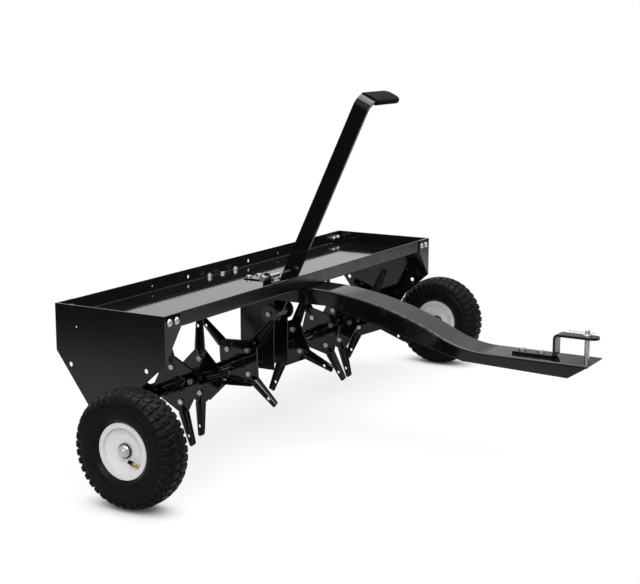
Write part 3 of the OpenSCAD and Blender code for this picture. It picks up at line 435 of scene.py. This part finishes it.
def add_mesh(name, points, faces, finish, smooth=True):
    """A new object of the given points, faces and finish."""
    mesh = bpy.data.meshes.new(name)
    mesh.from_pydata(points, [], faces)
    mesh.polygons.foreach_set("use_smooth", [smooth] * len(mesh.polygons))
    mesh.materials.append(finish)
    mesh.update()
    made = bpy.data.objects.new(name, mesh)
    bpy.context.scene.collection.objects.link(made)
    return made


# Tyres

def smooth_line(points, step):
    """Catmull-Rom line through the points, sampled about every step."""
    before = 2 * np.array(points[0]) - points[1]
    after = 2 * np.array(points[-1]) - points[-2]
    control = np.array([before, *points, after])
    line = []
    for a, b, c, d in zip(control, control[1:], control[2:], control[3:]):
        count = max(1, round(float(np.linalg.norm(c - b)) / step))
        square, cube = 2 * a - 5 * b + 4 * c - d, 3 * b - a - 3 * c + d
        for t in np.arange(count) / count:
            line.append(0.5 * (2 * b + (c - a) * t + square * t**2 + cube * t**3))
    line.append(control[-2])
    return np.array(line)


def ramp(distance):
    """0 in a groove, 1 on top of a block, with a short sloped wall between them."""
    t = np.clip(distance / GROOVE_WALL, 0, 1)
    return t * t * (3 - 2 * t)


def zigzag(turn):
    """A wave of straight flanks between -1 and 1, once per pitch."""
    return 4 * np.abs(turn - np.floor(turn) - 0.5) - 1


def to_groove(turn, pitch):
    """Distance along the tread to the nearest groove that crosses it."""
    return np.abs(turn - np.round(turn)) * pitch


def tread_height(turn, across, pitch):
    """Height of the tread, 0 to 1, at a place round the tyre, in pitches, and across it."""
    side = np.where(across < 0, 0.5, 0.0)
    far = np.abs(across)
    lugs = ramp(to_groove(turn + side, pitch) - LUG_GROOVE / 2)
    fade = np.clip((LUG_END - far) / LUG_FADE, 0, 1)
    shoulder_line = LUG_START - SHOULDER_INSET + SHOULDER_WAVE * zigzag(turn + side + 0.25)
    shoulder_groove = ramp(np.abs(far - shoulder_line) - BLOCK_GROOVE / 2)
    crown_groove = ramp(np.abs(across - CROWN_WAVE * zigzag(turn)) - BLOCK_GROOVE / 2)
    row = turn + np.where(across < 0, 0.25, 0.75) + far * BLOCK_SLANT
    block_groove = ramp(to_groove(row, pitch) - BLOCK_GROOVE / 2)
    crown = np.minimum(np.minimum(crown_groove, shoulder_groove), block_groove)
    lug = np.minimum(lugs, shoulder_groove) * fade
    return np.where(far > shoulder_line, lug, crown)


def side_ribs(radius, across):
    """Height of the ribs on the side walls."""
    ribs = sum(
        SIDE_RIB_HEIGHT * np.exp(-(((radius - r) / SIDE_RIB_WIDTH) ** 2) * 2)
        for r in SIDE_RIB_RADII
    )
    return ribs * (np.abs(across) > SIDE_RIB_START)


def treaded_tyre(side):
    """A tyre with carcass, side ribs, shoulder lugs and crown blocks, in place of the CAD tyre."""
    low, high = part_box(f"{side}_tyre")
    centre = (low + high) / 2
    half = smooth_line(CARCASS, CARCASS_STEP)
    section = np.vstack([half, half[-2::-1] * (1, -1)])
    along = np.gradient(section, axis=0)
    along /= np.linalg.norm(along, axis=1)[:, None]
    outward = np.column_stack([-along[:, 1], along[:, 0]])
    steps = np.linalg.norm(np.diff(section, axis=0), axis=1)
    across = np.concatenate([[0], np.cumsum(steps)])
    across = across[len(half) - 1] - across
    angles = np.arange(TYRE_STEPS) * 2 * math.pi / TYRE_STEPS
    turn, place = np.meshgrid(angles * TREAD_PITCHES / (2 * math.pi), across, indexing="ij")
    pitch = 2 * math.pi * CARCASS[-1][0] / TREAD_PITCHES
    rise = TREAD_DEPTH * tread_height(turn, place, pitch) * (np.abs(place) < LUG_END)
    rise = rise + side_ribs(section[:, 0], across)[None, :]
    radius = section[None, :, 0] + rise * outward[None, :, 0]
    width = section[None, :, 1] + rise * outward[None, :, 1]
    y = centre.y + radius * np.sin(angles)[:, None]
    z = centre.z + radius * np.cos(angles)[:, None]
    points = np.stack([centre.x + width, y, z], -1).reshape(-1, 3)
    index = np.arange(len(points)).reshape(TYRE_STEPS, len(section))
    ahead_step, ahead_place = np.roll(index, -1, 0), np.roll(index, -1, 1)
    both = np.roll(ahead_step, -1, 1)
    faces = np.stack([index, ahead_place, both, ahead_step], -1).reshape(-1, 4)
    tyre = add_mesh(
        f"{side}_tyre_tread", points.tolist(), faces.tolist(), FINISHES["tyre_rubber"]
    )
    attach(tyre, f"{side}_wheel")
    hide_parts(f"{side}_tyre")


# Grip

def soft_grip():
    """The moulded grip with a full round end, in place of the CAD grip."""
    low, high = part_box("lever_grip")
    middle = (low + high) / 2
    end = np.linspace(0, math.pi / 2, GRIP_END_RINGS)
    end_reach = high.x - low.x - GRIP_ROUND * (1 - np.sin(end))
    reach = np.concatenate([GRIP_MOUTH_REACH, end_reach])
    end_width, end_depth = np.cos(end) ** GRIP_END_WIDTH_POWER, np.cos(end) ** GRIP_END_DEPTH_POWER
    width = GRIP_HALF_W * np.concatenate([GRIP_MOUTH_WIDTH, end_width])
    depth = GRIP_HALF_T * np.concatenate([GRIP_MOUTH_DEPTH, end_depth])
    turn = np.arange(GRIP_STEPS) * 2 * math.pi / GRIP_STEPS
    soft_y, soft_z = (
        np.sign(v) * np.abs(v) ** GRIP_SQUARENESS for v in (np.cos(turn), np.sin(turn))
    )
    flat = np.stack(
        [reach[:, None] + 0 * turn, width[:, None] * soft_y, depth[:, None] * soft_z], -1
    )
    lean = Matrix.Rotation(LEVER_LEAN, 3, "X")
    start = Vector((low.x, middle.y, middle.z))
    points = [start + lean @ Vector(p) for p in flat.reshape(-1, 3)]
    index = np.arange(len(points)).reshape(len(reach), GRIP_STEPS)
    ahead = np.roll(index, -1, 1)
    faces = np.stack([index[:-1], ahead[:-1], ahead[1:], index[1:]], -1).reshape(-1, 4)
    grip = add_mesh("soft_grip", points, faces.tolist(), FINISHES["black_rubber"])
    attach(grip, "lever")
    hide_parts("lever_grip")


# Studio

def white_sweep():
    """Paper that the camera sees as white with a light shadow and painted contact shade, and that
    gloss sees as dimmer, with painted shade and one painted pool of light.
    """
    sweep = bpy.data.materials.new("white sweep")
    sweep.use_nodes = True
    tree = sweep.node_tree
    tree.nodes.clear()
    place = object_place(tree)
    seen = add_node(tree, "ShaderNodeLightPath").outputs["Is Camera Ray"]

    # painted shade and light, seen only by gloss and bounce light: darker away from the machine, one
    # bright patch
    reach = smooth_step(tree, vector_value(tree, "LENGTH", place), *MIRROR_FADE, 1.0, 0.0)
    depth = smooth_step(tree, vector_value(tree, "DOT_PRODUCT", place, VIEW_ALONG), *MIRROR_START)
    painted_lit_amount = arithmetic(tree, "MULTIPLY", reach, depth)
    aside = vector_value(tree, "DISTANCE", place, PAINTED_LIGHT_PLACE)
    painted_light_patch = smooth_step(tree, aside, *PAINTED_LIGHT_FADE, PAPER_TONE, 0.0)
    painted_mirror_tone = arithmetic(tree, "MAXIMUM", remap(tree, painted_lit_amount, 0.0, 1.0, *MIRROR_PAINTED_TONES), painted_light_patch)
    paper = add_node(tree, "ShaderNodeBsdfDiffuse")
    shown = arithmetic(tree, "MULTIPLY", seen, PAPER_TONE)
    tree.links.new(arithmetic(tree, "MAXIMUM", painted_mirror_tone, shown), paper.inputs["Color"])

    white = add_node(tree, "ShaderNodeEmission")
    # painted contact shade: ambient occlusion darkens the floor's white glow where something stands
    # on it
    contact = add_node(tree, "ShaderNodeAmbientOcclusion", samples=8)
    contact.inputs["Distance"].default_value = CONTACT_REACH
    painted_contact_shade = smooth_step(tree, contact.outputs["AO"], *CONTACT_OPEN, *CONTACT_PAINTED_SHADE_TONES)
    tree.links.new(painted_contact_shade, white.inputs["Color"])
    footprint = add_node(tree, "ShaderNodeMapping", vector_type="TEXTURE")
    footprint.inputs["Location"].default_value = FOOTPRINT_PLACE
    footprint.inputs["Scale"].default_value = FOOTPRINT_SCALE
    tree.links.new(place, footprint.inputs["Vector"])
    beside = vector_value(tree, "LENGTH", footprint.outputs["Vector"])
    cover = smooth_step(tree, beside, *SHADOW_FADE, *SHADOW_COVER)

    mix = add_node(tree, "ShaderNodeMixShader")
    tree.links.new(arithmetic(tree, "MULTIPLY", seen, cover), mix.inputs["Fac"])
    tree.links.new(paper.outputs["BSDF"], mix.inputs[1])
    tree.links.new(white.outputs["Emission"], mix.inputs[2])
    output = add_node(tree, "ShaderNodeOutputMaterial")
    tree.links.new(mix.outputs["Shader"], output.inputs["Surface"])
    return sweep


def studio_floor():
    """The white floor that the machine stands on."""
    signs = ((-1, -1), (1, -1), (1, 1), (-1, 1))
    corners = [(x * FLOOR_HALF, y * FLOOR_HALF, 0) for x, y in signs]
    floor = add_mesh("studio_floor", corners, [(0, 1, 2, 3)], white_sweep(), smooth=False)


def studio_world():
    """White where the camera looks; for light and gloss, bright sides in a dim room."""
    world = bpy.data.worlds.new("studio")
    bpy.context.scene.world = world
    world.use_nodes = True
    tree = world.node_tree
    way = add_node(tree, "ShaderNodeTexCoord").outputs["Generated"]

    def side(direction, *steps):
        return smooth_step(tree, vector_value(tree, "DOT_PRODUCT", way, direction), *steps)

    backdrop = side(BACKDROP_WAY, *BACKDROP_FADE)
    ceiling = side(CEILING_WAY, *CEILING_FADE, *CEILING_TONES)
    front = side(FRONT_WAY, *FRONT_FADE, *FRONT_TONES)
    bright = arithmetic(tree, "MAXIMUM", arithmetic(tree, "MAXIMUM", backdrop, ceiling), front)
    seen = add_node(tree, "ShaderNodeLightPath").outputs["Is Camera Ray"]
    shown = arithmetic(tree, "MAXIMUM", bright, seen)
    tree.links.new(shown, tree.nodes["Background"].inputs["Color"])


def softbox(name, place, target, width, height, power):
    """A rectangular area lamp that faces a target."""
    lamp = bpy.data.lights.new(name, "AREA")
    lamp.shape = "RECTANGLE"
    lamp.size, lamp.size_y, lamp.energy = width, height, power
    holder = bpy.data.objects.new(name, lamp)
    holder.location = place
    holder.rotation_euler = (Vector(target) - Vector(place)).to_track_quat("-Z", "Y").to_euler()
    bpy.context.scene.collection.objects.link(holder)


def photo_camera():
    """The camera that took the photograph."""
    data = bpy.data.cameras.new("photo camera")
    data.sensor_width = SENSOR_MM
    data.lens = FOCAL_PX / PHOTO_W * SENSOR_MM
    camera = bpy.data.objects.new("photo camera", data)
    back = Vector((
        math.sin(CAMERA_AZIMUTH) * math.cos(CAMERA_ELEVATION),
        -math.cos(CAMERA_AZIMUTH) * math.cos(CAMERA_ELEVATION),
        math.sin(CAMERA_ELEVATION),
    ))
    right = Vector((0, 0, 1)).cross(back).normalized()
    turn = Matrix((right, back.cross(right), back)).transposed()
    camera.matrix_world = Matrix.Translation(CAMERA_PLACE) @ turn.to_4x4()
    bpy.context.scene.collection.objects.link(camera)
    bpy.context.scene.camera = camera


def studio():
    """Floor, room, lamps and camera."""
    bpy.context.scene.view_settings.view_transform = "Standard"
    studio_floor()
    studio_world()
    softbox("overhead box", (0.2, 0.3, 3.2), (0, 0.2, 0), width=3.2, height=2.6, power=110)
    softbox("left box", (-2.3, -0.4, 1.5), (-0.75, 0.23, 0.13), width=1.0, height=0.8, power=20)
    photo_camera()


dress_nodes()
for wheel_side in ("left", "right"):
    treaded_tyre(wheel_side)
soft_grip()
studio()
